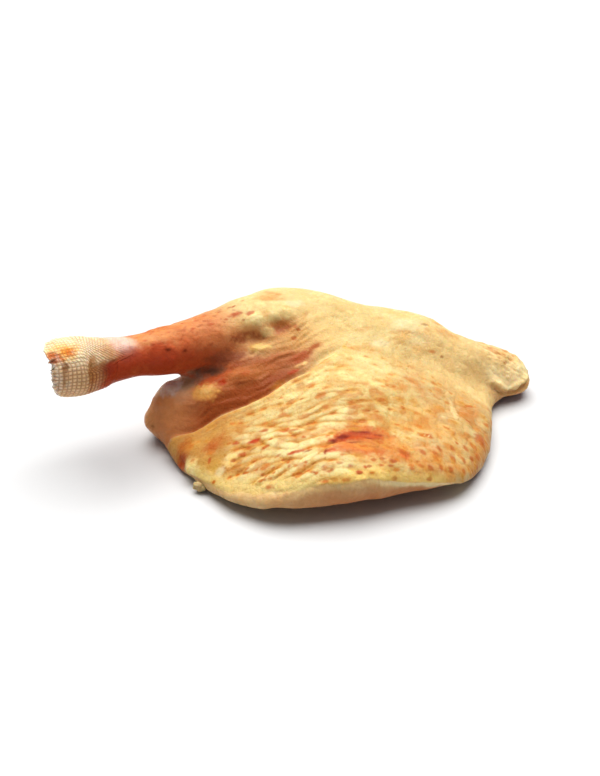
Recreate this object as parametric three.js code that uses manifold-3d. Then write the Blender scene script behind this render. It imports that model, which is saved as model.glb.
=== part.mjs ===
// Raw duck leg, skin side up: drumstick and thigh in one piece, with the broad skin flap cut round them.
//
// The leg lies on its flesh side. The knee is the highest point, near the back edge. From it the thigh
// runs to the right and ends in a blunt tail of skin, and the drumstick runs to the left and out over
// the table, so that its scaly hock hangs free. The calf lies on the table below the drumstick, and the
// flap slopes from the thigh down to its thick cut edge at the front, which stands a little off the table.
// A fold divides the calf from the flap.
//
// Millimetres. +X runs along the leg from hock to tail, +Y from the flap's cut edge to the back, +Z is up.
// The origin is on the surface that the leg lies on, below the middle of the flap.
import * as THREE from "three";
import { MarchingCubes } from "three/addons/objects/MarchingCubes.js";
import { mergeVertices } from "three/addons/utils/BufferGeometryUtils.js";
import Module from "manifold-3d";

const { MathUtils, Vector2, Vector3 } = THREE;

// ---- Driving dimensions ----

const CELL = 3.5; // edge of the cells in which the flesh is meshed
const FIELD_LENGTH = 266; // the cube of cells has to hold the whole leg
const FIELD_CENTRE = new Vector3(0, -4, 58);
const ORIGIN = new Vector2(0.2, 5.85); // below the middle of the flap
const RELAX_ROUNDS = 4;
const RELAX_SHARE = 0.6; // how far a corner moves towards the middle of its neighbours in a round
const SLOPE_STEP = 0.5;
const BASE_ALLOWANCE = 1; // meshed below the table, then cut off to leave a flat base

const EDGE_THICKNESS = 6; // skin and fat at the flap's edge
const EDGE_SWELLING = 6.5; // how much thicker the fat is where the front is cut
const SWELLING_X = 18;
const SWELLING_HALF_WIDTH = 33;
const EDGE_ROUNDING = 4;

// The meat lifts the flap in a dome that fills most of the outline.
const DOME_HEIGHT = 29;
const DOME_CENTRE = new Vector2(12, 12);
const DOME_HALF_SIZE = new Vector2(84, 68);
const DOME_FULLNESS = 1.8; // 1 is a cone

// Past the meat the flap's front edge juts out over the table, and is drawn this much up and outwards.
const JUT_RISE = 6.5;
const JUT_REACH = 10.7;
const JUT_SPAN = new Vector2(0.5, 1.15); // where it begins and is full, as shares of the dome's size
const JUT_LEFT = new Vector2(-62, 5);
const JUT_RIGHT = new Vector2(95, 55);
const JUT_FRONT = new Vector2(-5, -30);
const JUT_HOLLOW = 1.5; // how much more its underside rises
const TAIL_RISE = 3; // the tail's underside, off the table
const TAIL_SPAN = new Vector2(86, 96);

const FOLD_SHARPNESS = 4; // rounding in the fold between calf and flap, at its open end
const KNEE_BLEND = 16; // rounding where the same two run together over the knee
const FOLD_TIP_X = -68; // the fold runs from the calf's tip to the knee
const FOLD_KNEE_X = 18;
const FOLD_FADE = 26; // length over which it dies out at either end
const THIGH_BLEND = 16;
const HIP_BLEND = 14;
const SHANK_BLEND = 6; // rounding where the drumstick comes out of the calf

// The hock is cut through at this place, square to this direction.
const HOCK_CUT = new Vector3(-107, -21, 50);
const HOCK_CUT_NORMAL = new Vector3(-0.98, -0.165, -0.12).normalize();

// The flap's outline on the table, anticlockwise from the left tip of the calf.
const OUTLINE = [
  [-67, 12],
  [-62, 0.5],
  [-59, -10],
  [-54, -22.5],
  [-48.5, -31],
  [-40.5, -42],
  [-28, -53],
  [-10, -59],
  [7, -56],
  [27, -52.5],
  [43, -46],
  [58, -41],
  [71, -37],
  [78, -28],
  [84, -13],
  [87, 6],
  [89, 24],
  [91, 36],
  [95, 43],
  [104, 44],
  [108, 52],
  [103, 62],
  [90, 66],
  [60, 67],
  [10, 68],
  [-30, 54],
  [-58, 33],
];

// A muscle is a row of stations, each a place on its line and the radius of the flesh there.
const DRUMSTICK = [
  { at: [-118, -27, 50.5], radius: 11.5 },
  { at: [-105, -19, 49.6], radius: 12.9 },
  { at: [-97, -14.5, 48.4], radius: 13.2 },
  { at: [-91, -11, 47.5], radius: 11.9 },
  { at: [-84, -6.5, 46.9], radius: 10.1 },
  { at: [-73, 0.5, 45.8], radius: 9.4 },
  { at: [-60, 8, 44.6], radius: 11.1 },
  { at: [-47, 16, 43.6], radius: 12.2 },
  { at: [-34, 24, 42.6], radius: 14.6 },
  { at: [-22, 31, 41.5], radius: 17.8 },
  { at: [-8, 38, 38.5], radius: 21 },
];
const CALF = [
  { at: [-66, 5, 12], radius: 4 },
  { at: [-47.5, 9, 18], radius: 14.5 },
  { at: [-36, 9, 20], radius: 17.5 },
  { at: [-21, 16, 26.5], radius: 20 },
  { at: [-6, 28, 32], radius: 22 },
];
const THIGH = [
  { at: [-10, 38, 34.5], radius: 23.5 },
  { at: [12, 40, 32], radius: 22 },
  { at: [28, 41, 28], radius: 20 },
  { at: [48, 43, 24], radius: 17.5 },
  { at: [70, 46, 18.3], radius: 14.1 },
  { at: [87, 50, 14], radius: 12 },
  { at: [97, 52, 12], radius: 8.8 },
];
const HIP = [
  { at: [34, 50, 26], radius: 14 },
  { at: [49, 51, 24.6], radius: 15 },
];
const CALF_FLATNESS = 0.83; // height over width of the calf's section

// ---- Distances ----

// The larger of two distances, with the corner between them rounded over the given width.
function roundedMax(a, b, width) {
  const overlap = Math.max(width - Math.abs(a - b), 0) / width;
  return Math.max(a, b) + (overlap * overlap * width) / 4;
}

function roundedMin(a, b, width) {
  return -roundedMax(-a, -b, width);
}

// Distance to a muscle's skin: spheres strung closely along a smooth line, their radii eased from
// station to station. A flatness below 1 lowers the section.
function muscleDistance(stations, flatness = 1) {
  const line = new THREE.CatmullRomCurve3(stations.map((s) => new Vector3(...s.at)));
  const beads = [];
  const beadsPerStation = 6;
  const last = stations.length - 1;
  for (let i = 0; i <= last * beadsPerStation; i++) {
    const place = i / beadsPerStation;
    const from = Math.min(Math.floor(place), last - 1);
    const share = MathUtils.smoothstep(place - from, 0, 1);
    beads.push({
      at: line.getPoint(place / last),
      radius: MathUtils.lerp(stations[from].radius, stations[from + 1].radius, share),
    });
  }
  const chords = beads.slice(1).map((b, i) => new THREE.Line3(beads[i].at, b.at));
  const offset = new Vector3();
  return (p) => {
    let distance = Infinity;
    chords.forEach((chord, i) => {
      const share = chord.closestPointToPointParameter(p, true);
      const radius = MathUtils.lerp(beads[i].radius, beads[i + 1].radius, share);
      chord.at(share, offset).sub(p);
      offset.z /= flatness;
      distance = Math.min(distance, offset.length() - radius);
    });
    return distance;
  };
}

// Distance in plan to a closed outline, negative inside it.
function outlineDistance(points) {
  const curve = new THREE.CatmullRomCurve3(points.map(([x, y]) => new Vector3(x, y, 0)), true, "centripetal");
  const rim = curve.getSpacedPoints(points.length * 6).map((p) => new Vector2(p.x, p.y));
  return (x, y) => {
    let squared = Infinity;
    let inside = false;
    for (let i = 1; i < rim.length; i++) {
      const a = rim[i - 1];
      const b = rim[i];
      const along = new Vector2(b.x - a.x, b.y - a.y);
      const share = MathUtils.clamp(((x - a.x) * along.x + (y - a.y) * along.y) / along.lengthSq(), 0, 1);
      const dx = x - a.x - share * along.x;
      const dy = y - a.y - share * along.y;
      squared = Math.min(squared, dx * dx + dy * dy);
      if (a.y > y !== b.y > y && x < a.x + ((y - a.y) / along.y) * along.x) inside = !inside;
    }
    return inside ? -Math.sqrt(squared) : Math.sqrt(squared);
  };
}

const drumstick = muscleDistance(DRUMSTICK);
const calf = muscleDistance(CALF, CALF_FLATNESS);
const thigh = muscleDistance(THIGH);
const hip = muscleDistance(HIP);
const outline = outlineDistance(OUTLINE);
const hockCut = new THREE.Plane().setFromNormalAndCoplanarPoint(HOCK_CUT_NORMAL, HOCK_CUT);

// A smooth rise from 0 at the range's x to 1 at its y, which may lie on either side of it.
function easeOver(range, value) {
  return MathUtils.smoothstep((value - range.x) / (range.y - range.x), 0, 1);
}

// How far out a place lies over the dome of meat: 0 at its centre, 1 at its foot.
function fromDome(p) {
  return new Vector2(p.x, p.y).sub(DOME_CENTRE).divide(DOME_HALF_SIZE).length();
}

// The flap is as thick as its cut edge at the rim, and rises from there over the dome of meat.
function flap(p) {
  const swelling = EDGE_SWELLING * Math.exp(-(((p.x - SWELLING_X) / SWELLING_HALF_WIDTH) ** 2));
  const top = EDGE_THICKNESS + swelling + DOME_HEIGHT * (1 - Math.min(fromDome(p), 1) ** DOME_FULLNESS);
  return roundedMax(outline(p.x, p.y), p.z - top, EDGE_ROUNDING);
}

function fleshDistance(p) {
  const shank = roundedMax(drumstick(p), hockCut.distanceToPoint(p), EDGE_ROUNDING);
  const lower = roundedMin(calf(p), shank, SHANK_BLEND);
  const ridge = roundedMin(thigh(p), hip(p), HIP_BLEND);
  const upper = roundedMin(flap(p), ridge, THIGH_BLEND);
  const fromEnd = Math.min(p.x - FOLD_TIP_X, FOLD_KNEE_X - p.x);
  const open = MathUtils.smoothstep(fromEnd, 0, FOLD_FADE);
  return roundedMin(lower, upper, MathUtils.lerp(KNEE_BLEND, FOLD_SHARPNESS, open));
}

function legDistance(p) {
  const sideways = easeOver(JUT_LEFT, p.x) * easeOver(JUT_RIGHT, p.x);
  const jut = sideways * easeOver(JUT_FRONT, p.y) * easeOver(JUT_SPAN, fromDome(p));
  const flesh = fleshDistance(new Vector3(p.x, p.y + jut * JUT_REACH, p.z - jut * JUT_RISE));
  const underside = Math.max(jut * (JUT_RISE + JUT_HOLLOW), TAIL_RISE * easeOver(TAIL_SPAN, p.x));
  return roundedMax(flesh, underside - BASE_ALLOWANCE - p.z, EDGE_ROUNDING);
}

// ---- Mesh ----

// The surface where a distance is zero.
function surfaceOf(distance) {
  const cells = Math.round(FIELD_LENGTH / CELL);
  const field = new MarchingCubes(cells, new THREE.MeshStandardMaterial(), false, false, 40000);
  const half = (cells * CELL) / 2;
  const p = new Vector3();
  for (let z = 0; z < cells; z++) {
    for (let y = 0; y < cells; y++) {
      for (let x = 0; x < cells; x++) {
        p.set(x, y, z).multiplyScalar(CELL).subScalar(half).add(FIELD_CENTRE);
        field.setCell(x, y, z, -distance(p));
      }
    }
  }
  field.isolation = 0;
  field.update();
  const positions = field.positionArray.slice(0, field.count * 3);
  const geometry = new THREE.BufferGeometry();
  geometry.setAttribute("position", new THREE.BufferAttribute(positions, 3));
  geometry.scale(half, half, half);
  geometry.translate(...FIELD_CENTRE.toArray());
  return mergeVertices(geometry, 1e-3);
}

// Evens out the triangles: each corner moves to the middle of its neighbours and then back to the surface.
function relaxOnto(distance, geometry) {
  const place = geometry.attributes.position;
  const neighbours = Array.from({ length: place.count }, () => new Set());
  const corners = geometry.index.array;
  corners.forEach((corner, i) => neighbours[corner].add(corners[i % 3 === 2 ? i - 2 : i + 1]));
  const axes = [new Vector3(1, 0, 0), new Vector3(0, 1, 0), new Vector3(0, 0, 1)];
  const at = (p, axis, step) => distance(p.clone().addScaledVector(axis, step));
  for (let round = 0; round < RELAX_ROUNDS; round++) {
    const moved = neighbours.map((ring, i) => {
      const middle = new Vector3();
      ring.forEach((j) => middle.add(new Vector3().fromBufferAttribute(place, j)));
      middle.divideScalar(ring.size);
      const p = new Vector3().fromBufferAttribute(place, i).lerp(middle, RELAX_SHARE);
      const rises = axes.map((axis) => at(p, axis, SLOPE_STEP) - at(p, axis, -SLOPE_STEP));
      const gradient = new Vector3(...rises).divideScalar(2 * SLOPE_STEP);
      return p.addScaledVector(gradient, -distance(p) / Math.max(gradient.lengthSq(), 0.5));
    });
    moved.forEach((p, i) => place.setXYZ(i, p.x, p.y, p.z));
  }
  return geometry;
}

const wasm = await Module();
wasm.setup();

function solidOf(geometry) {
  const bare = mergeVertices(geometry.clone().deleteAttribute("normal").deleteAttribute("uv"));
  return new wasm.Manifold(
    new wasm.Mesh({
      numProp: 3,
      vertProperties: bare.attributes.position.array,
      triVerts: new Uint32Array(bare.index.array),
    }),
  );
}

function geometryOf(solid) {
  const { vertProperties, triVerts } = solid.getMesh();
  const geometry = new THREE.BufferGeometry();
  geometry.setAttribute("position", new THREE.BufferAttribute(vertProperties, 3));
  geometry.setIndex(new THREE.BufferAttribute(triVerts, 1));
  geometry.computeVertexNormals();
  return geometry;
}

const table = new THREE.BoxGeometry(FIELD_LENGTH, FIELD_LENGTH, CELL * 4);
table.translate(FIELD_CENTRE.x, FIELD_CENTRE.y, -CELL * 2);

const flesh = solidOf(relaxOnto(legDistance, surfaceOf(legDistance)));
const leg = geometryOf(flesh.subtract(solidOf(table)));
leg.translate(-ORIGIN.x, -ORIGIN.y, 0);

const root = new THREE.Group();
const skin = new THREE.Mesh(
  leg,
  new THREE.MeshStandardMaterial({ color: 0xe6b277, roughness: 0.45, metalness: 0 }),
);
skin.name = "duck_leg";
root.add(skin);

export default root;
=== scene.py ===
import math

import bmesh
import bpy
import numpy as np
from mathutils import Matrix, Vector
from mathutils.bvhtree import BVHTree


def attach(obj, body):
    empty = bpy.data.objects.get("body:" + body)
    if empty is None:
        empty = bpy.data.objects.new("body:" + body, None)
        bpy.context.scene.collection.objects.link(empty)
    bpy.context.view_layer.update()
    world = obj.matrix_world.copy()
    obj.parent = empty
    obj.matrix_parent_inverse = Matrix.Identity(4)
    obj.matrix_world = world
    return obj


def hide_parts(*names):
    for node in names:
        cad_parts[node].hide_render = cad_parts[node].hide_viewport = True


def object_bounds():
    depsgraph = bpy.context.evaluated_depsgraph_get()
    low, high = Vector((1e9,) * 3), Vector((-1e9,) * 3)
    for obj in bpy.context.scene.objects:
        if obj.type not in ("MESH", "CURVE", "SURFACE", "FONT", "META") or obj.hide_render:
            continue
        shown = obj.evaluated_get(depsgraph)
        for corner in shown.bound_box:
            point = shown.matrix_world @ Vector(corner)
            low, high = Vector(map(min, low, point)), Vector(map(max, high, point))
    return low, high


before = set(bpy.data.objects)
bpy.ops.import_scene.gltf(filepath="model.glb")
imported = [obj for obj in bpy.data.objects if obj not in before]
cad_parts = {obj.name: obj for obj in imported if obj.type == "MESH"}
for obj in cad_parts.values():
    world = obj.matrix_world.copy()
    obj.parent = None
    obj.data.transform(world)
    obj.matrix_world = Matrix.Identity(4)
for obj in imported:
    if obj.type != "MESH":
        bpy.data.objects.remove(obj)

cad_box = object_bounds()
floor_height = cad_box[0].z

# Skin of the leg. One thick fatty skin wraps meat and bone from the hock to the hip: smooth and red on
# the shank, folded over the calf, wrinkled where it hangs as a flap over the thigh.
# It starts as a remeshed copy of the solid and is worked like clay, in millimetres.

MM = 0.001
SKIN_GRAIN = 2.0 * MM    # side of one face before the visible skin is made finer
SHANK_FROM = np.array([-118.2, -32.9, 51.5])    # the shank's middle line starts past the hock's cut
SHANK_TO = np.array([-8.2, 33.0, 41.0])    # and ends inside the knee
# The crease between calf and flap, seen from above.
FOLD = [
    (-66, -11), (-61, -14.5), (-47, -18.5), (-35, -16), (-24, -15), (-15, -13), (-6, -7.5), (3, -5),
    (10, 1), (20, 8)]
# Height of the cut skin along the front.
RIM_SKIN_EDGE = [
    (-52, 4.5), (-43, 5.3), (-32, 6.3), (-13, 9.6), (0, 11.2), (14, 12.8), (30, 13.4), (43, 8.6),
    (56, 5.6), (68, 2.6), (76, 1.2)]


def linear(tone):
    """A colour written as six hex digits, as three linear numbers."""
    parts = np.array([int(tone[i:i + 2], 16) / 255 for i in (0, 2, 4)])
    return np.where(parts <= 0.04045, parts / 12.92, ((parts + 0.055) / 1.055) ** 2.4)


def ease(start, end, value):
    """0 before start, 1 after end, and a smooth rise between them."""
    t = np.clip((value - start) / (end - start), 0.0, 1.0)
    return t * t * (3 - 2 * t)


def mix(a, b, share):
    return a + (b - a) * share


def hump(value, middle, width):
    """1 at the middle, and falling away on both sides of it."""
    return np.exp(-((value - middle) / width) ** 2)


def unit(vector):
    return vector / np.linalg.norm(vector)


def turned(out, degrees):
    """Offsets along and across a line that runs this many degrees from +X."""
    c, s = math.cos(math.radians(degrees)), math.sin(math.radians(degrees))
    return out[:, 0] * c + out[:, 1] * s, out[:, 1] * c - out[:, 0] * s


def noise(points, cell, seed=0):
    """Smooth random numbers from -1 to 1, changing over about one cell; a cell may have three sides."""
    places = points / np.asarray(cell, float)
    corner = np.floor(places).astype(np.int64)
    part = places - corner
    part = part ** 3 * (part * (part * 6 - 15) + 10)
    total = np.zeros(len(points))
    for step in np.ndindex(2, 2, 2):
        at = corner + step
        mixed = at[:, 0] * 374761393 + at[:, 1] * 668265263 + at[:, 2] * 1103515245 + seed * 97777
        mixed = mixed & 0xFFFFFFFF
        mixed = ((mixed ^ (mixed >> 13)) * 1274126177) & 0xFFFFFFFF
        value = ((mixed ^ (mixed >> 16)) & 0xFFFF) / 32767.5 - 1
        total += value * np.prod(np.where(step, part, 1 - part), axis=1)
    return total


def mound(points, at, reach):
    """1 at a point and falling away round it; reach is one radius, or one for each axis."""
    return np.exp(-(((points - np.asarray(at, float)) / reach) ** 2).sum(axis=1))


def beside(points, line):
    """Seen from above: distance from a line of points, positive on its right, and how far along it."""
    best = np.full(len(points), 1e9)
    side, along = np.zeros(len(points)), np.zeros(len(points))
    gone = 0.0
    for a, b in zip(line, line[1:]):
        a, b = np.array(a, float), np.array(b, float)
        length = np.hypot(*(b - a))
        way = (b - a) / length
        out = points[:, :2] - a
        share = np.clip(out @ way, 0, length)
        distance = np.hypot(*(out - share[:, None] * way).T)
        nearer = distance < best
        right = out[:, 0] * way[1] - out[:, 1] * way[0]
        best = np.where(nearer, distance, best)
        side = np.where(nearer, np.where(right < 0, -distance, distance), side)
        along = np.where(nearer, gone + share, along)
        gone += length
    return side, along


SHANK_WAY = unit(SHANK_TO - SHANK_FROM)
SHANK_FRONT = unit(np.cross(SHANK_WAY, (0, 0, 1)))
SHANK_TOP = np.cross(SHANK_FRONT, SHANK_WAY)


def on_shank(points):
    """Distance along the shank, distance from its middle, and angle from its top to the front."""
    out = points - SHANK_FROM
    front, top = out @ SHANK_FRONT, out @ SHANK_TOP
    return out @ SHANK_WAY, np.hypot(front, top), np.arctan2(front, top)


def skin_radius(surface, length, angle, start):
    """How far a surface lies from the middle of the shank, felt from a start well outside it."""
    middle = SHANK_FROM + SHANK_WAY * length
    out = SHANK_TOP * math.cos(angle) + SHANK_FRONT * math.sin(angle)
    hit = surface.ray_cast(Vector(middle + out * start), Vector(-out))[0]
    return (np.array(hit) - middle) @ out if hit else 0.0


def scales_end(angle):
    """How far along the shank the scaly skin of the hock reaches, round the shank."""
    return 38 + 8.5 * ease(1.4, 1.1, angle) * ease(-1.3, 0.1, angle)


def apart(mesh):
    """A mesh's points in millimetres, and its normals."""
    points, normals = np.zeros(len(mesh.vertices) * 3), np.zeros(len(mesh.vertices) * 3)
    mesh.vertices.foreach_get("co", points)
    mesh.vertex_normals.foreach_get("vector", normals)
    return points.reshape(-1, 3) / MM, normals.reshape(-1, 3)


def raised(mesh, height):
    """Moves every point out along its normal by its own height, and keeps the base flat."""
    points, normals = apart(mesh)
    points = points + normals * height[:, None]
    points[:, 2] = np.maximum(points[:, 2], floor_height / MM)
    mesh.vertices.foreach_set("co", (points * MM).ravel())
    mesh.update()
    return apart(mesh)


def finer(bm, wanted):
    """Cuts the edges of the faces that are wanted in two."""
    faces = [face for face in bm.faces if wanted(*(face.calc_center_median() / MM), face.normal)]
    edges = {edge for face in faces for edge in face.edges}
    bmesh.ops.subdivide_edges(bm, edges=list(edges), cuts=1, use_grid_fill=True)


def smoothed(bm, rounds):
    for _ in range(rounds):
        bmesh.ops.smooth_vert(
            bm, verts=bm.verts, factor=0.5, use_axis_x=True, use_axis_y=True, use_axis_z=True)


JUT_RISE, JUT_REACH = 6.5, 10.7    # the flap's front edge stands this far up and out over the table
JUT_MIDDLE, JUT_SIZE = (11.8, 6.15), (84, 68)    # it starts half way out in this oval


def jut(points):
    """How far a place is drawn out with the flap's front edge: 0 on the meat and 1 at the front."""
    x, y = points[:, 0], points[:, 1]
    out = np.hypot(*((points[:, :2] - JUT_MIDDLE) / JUT_SIZE).T)
    return ease(-62.2, 4.8, x) * ease(94.8, 54.8, x) * ease(-10.85, -35.85, y) * ease(0.5, 1.15, out)


def laid_flat(points):
    """The same places with the flap's edge let down on the table, where its marks are laid out."""
    return points + jut(points)[:, None] * np.array([0, JUT_REACH, -JUT_RISE])


HOCK_CUT = np.array([-107.2, -26.9, 50.0])    # middle of the cut through the hock
HOCK_CUT_OUT = np.array([-0.98, -0.165, -0.12])    # the way its face looks
HOCK_DEPTH = 6.0    # the flesh ends this far inside the scaly skin


def in_scene(name, data):
    made = bpy.data.objects.new(name, data)
    bpy.context.scene.collection.objects.link(made)
    return made


def skin_blank():
    """The leg's solid as an even mesh, fine where its wrinkles show."""
    bm = bmesh.new()
    bm.from_mesh(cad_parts["duck_leg"].data)
    bmesh.ops.remove_doubles(bm, verts=bm.verts, dist=0.01 * MM)
    everything = bm.verts[:] + bm.edges[:] + bm.faces[:]
    inside = (HOCK_CUT - HOCK_CUT_OUT * HOCK_DEPTH) * MM
    bmesh.ops.bisect_plane(bm, geom=everything, plane_co=inside, plane_no=HOCK_CUT_OUT, clear_outer=True)
    bmesh.ops.holes_fill(bm, edges=[edge for edge in bm.edges if edge.is_boundary])
    solid = bpy.data.meshes.new("leg_solid")
    bm.to_mesh(solid)
    bm.free()
    blank = in_scene("leg_blank", solid)
    remesh = blank.modifiers.new("Even", "REMESH")
    remesh.mode = "VOXEL"
    remesh.voxel_size = SKIN_GRAIN
    even = bpy.data.meshes.new_from_object(blank.evaluated_get(bpy.context.evaluated_depsgraph_get()))
    bpy.data.objects.remove(blank)
    bm = bmesh.new()
    bm.from_mesh(even)
    smoothed(bm, 4)
    finer(bm, lambda x, y, z, normal: z > 0.6 and x > -88 and not (normal.y > 0.35 and y > 30))
    smoothed(bm, 2)
    finer(bm, lambda x, y, z, normal: (
        (-50 < x < 82 and y < -16 and normal.z > -0.1 and z > 3)
        or (62 < x < 86 and y < 6 and normal.z > 0.1) or (x > 88 and y < 42 and normal.y < 0.2 and z > 3)
        or (-34 < x < 4 and y < 22 and z > 40 and normal.y < 0.1)
        or (-66 < x < 8 and -18 < y < 2 and 14 < z <= 40 and normal.y < 0.2 and normal.z > 0)))
    smoothed(bm, 1)
    bm.to_mesh(even)
    bm.free()
    return even


def flap_share(points):
    """How much a point belongs to the hanging flap: 1 on it, 0 on the calf, shank and knee."""
    side, _ = beside(points, FOLD)
    behind = ease(0, 26, points[:, 1] + 0.35 * points[:, 0])
    return ease(-0.5, 3.5, side) * (1 - behind * 0.75)


def rim_height(flat):
    """How high the cut skin's edge lies along the flap's front."""
    return np.interp(flat[:, 0], *np.array(RIM_SKIN_EDGE).T)


def rim_face_share(flat, normals):
    """How much a point lies on the cut fat under the skin's front edge."""
    x, y, z = flat.T
    edge = rim_height(flat) + 0.45 * noise(flat, 5, 31)
    along = ease(-53, -50, x) * ease(77, 70, x)
    return ease(0.5, -0.6, z - edge) * along * ease(0.15, -0.05, normals[:, 1]) * ease(20, 5, y)


# Places on the flap, and which way the skin runs there.
FLOW = [
    (-22, -52, 16), (-26, -46, 10), (-29, -42, 14), (-20, -33, -20), (-6, -40, -20), (8, -43, 4),
    (-12, -28, 2), (8, -26, 16), (26, -21, 22), (2, -54, 16), (20, -54, 4), (44, -42, -14),
    (42, -22, 12), (58, -34, -30), (72, -34, -50), (70, -8, 8), (40, -8, 18), (-4, -14, 26)]


def flow(x, y):
    """Which way the flap's skin runs at one place, in degrees from +X."""
    near = [(1 / ((x - a) ** 2 + (y - b) ** 2 + 15) ** 2, turn) for a, b, turn in FLOW]
    return sum(weight * turn for weight, turn in near) / sum(weight for weight, _ in near)


def oval(flat, place, long, wide, turn):
    """The points near a place, and how far out each lies in an oval round it, 1 at its rim."""
    near = np.flatnonzero((np.abs(flat[:, :2] - place) < long).all(axis=1))
    a, b = turned(flat[near, :2] - place, turn)
    return near, np.hypot(a / long, b / wide)


def folded(flat):
    """The flap's soft folds, laid side by side like quilting: 1 along a fold's top, 0 in the gaps."""
    height = np.zeros(len(flat))
    draw = np.random.default_rng(2)
    for x in np.arange(-46, 86, 6.6):
        for y in np.arange(-64, 6, 3.4):
            place = np.array((x, y)) + draw.uniform(-1, 1, 2) * (3.3, 0.9)
            long, wide, size = draw.uniform((5.0, 1.5, 0.65), (11.5, 2.3, 1.0))
            near, far = oval(flat, place, long, wide, flow(*place) + draw.uniform(-9, 9))
            height[near] = np.maximum(height[near], size * np.sqrt(np.clip(1 - far ** 2, 0, 1)))
    return height


def wrinkle_share(points):
    """Where the flap is wrinkled: strongly at its front, and hardly at the thigh."""
    x, y, z = points.T
    front = ease(-14, -36, y - 0.2 * x)
    left = ease(-30, -18, x - 0.15 * y)
    right = 1 - 0.9 * ease(10, 40, x)
    edge = ease(-0.5, 3.5, z - rim_height(points))
    return flap_share(points) * left * right * edge * mix(0.25, 1.0, front)


def net(flat, cell, seed):
    """Soft creases round cells of about one size: 0 on a crease, rising to the cells' middles."""
    bent = 1.8 * np.c_[noise(flat, 6, seed + 2), noise(flat, 6, seed + 3)]
    places = (flat[:, :2] + bent) / cell
    corner = np.floor(places)
    nearest, second = np.full(len(flat), 9.0), np.full(len(flat), 9.0)
    for step in np.ndindex(3, 3):
        at = corner + step - 1
        spot = np.c_[at, at[:, :1] * 0]
        middle = at + 0.5 + 0.5 * np.c_[noise(spot + 0.37, 1, seed), noise(spot + 0.37, 1, seed + 1)]
        far = np.hypot(*(places - middle).T)
        second = np.minimum(second, np.maximum(nearest, far))
        nearest = np.minimum(nearest, far)
    return second - nearest


HIP_LIP = [(88, 14.5), (91, 13), (94, 10.3), (97.2, 8.2), (101.2, 8.3), (105, 9.6), (109, 12)]


def over_lip(points):
    """Height over the wavy lip where the hip's top skin ends, at the leg's right end."""
    lip = np.interp(points[:, 0], *np.array(HIP_LIP).T)
    return points[:, 2] - lip + 0.6 * noise(points, 2.6, 90)


def strand_lines(along, side, z):
    """The calf's fine lines, which run with the fold."""
    return noise(np.c_[along / 9, side / 1.3, z / 3], 1, 21)


def lobe_creases(flat):
    """Fine creases on the rounded lobe behind the hip."""
    x, y, z = flat.T
    return noise(np.c_[x / 7, (y + 0.2 * x) / 1.4, z / 1.4], 1, 80)


# Depth, middle and reach of the hollows: at the knee, along the fold's left end, and the torn notch.
HOLLOWS = [
    (-2.6, (-22, 7.5, 48.5), (6.5, 4, 4)), (-1.8, (-9, 12.5, 51), (4.5, 3.5, 3)),
    (-0.8, (-30, 5, 45), (9, 4, 4)), (-1.9, (-40, -0.6, 35.6), (9, 2.4, 2.8)),
    (-1.8, (-49, -0.6, 33), (4, 2.5, 3)), (-2.2, (-52.5, -31, 5), (3, 3, 4))]
# Height, middle and reach of the lumps: the knee's fat, the calf's tip, and fat at the flap's left.
LUMPS = [
    (1.2, (-20.5, 14, 55), (3.4, 3, 3)), (1.4, (-12, 16.5, 55), (3.4, 3, 3)),
    (1.1, (-7, 18.5, 56), (3.5, 3, 3)), (0.6, (-14.5, 10.8, 50), (3.4, 2.6, 2.6)),
    (1.6, (-19, 5, 44.5), (5, 2.2, 2.4)), (1, (-41, -7, 31), (6, 3.5, 3.5)),
    (3, (-60, 2, 25), (6, 6, 5)), (2.2, (-64.5, -0.5, 19), (5, 5, 4)),
    (1.2, (-48, -38, 6), (3, 2.5, 4)), (0.8, (-28, -5.5, 36), (9, 2.5, 2.5)),
    (0.9, (-10.5, 20, 57.5), (5, 3, 3))]


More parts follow.
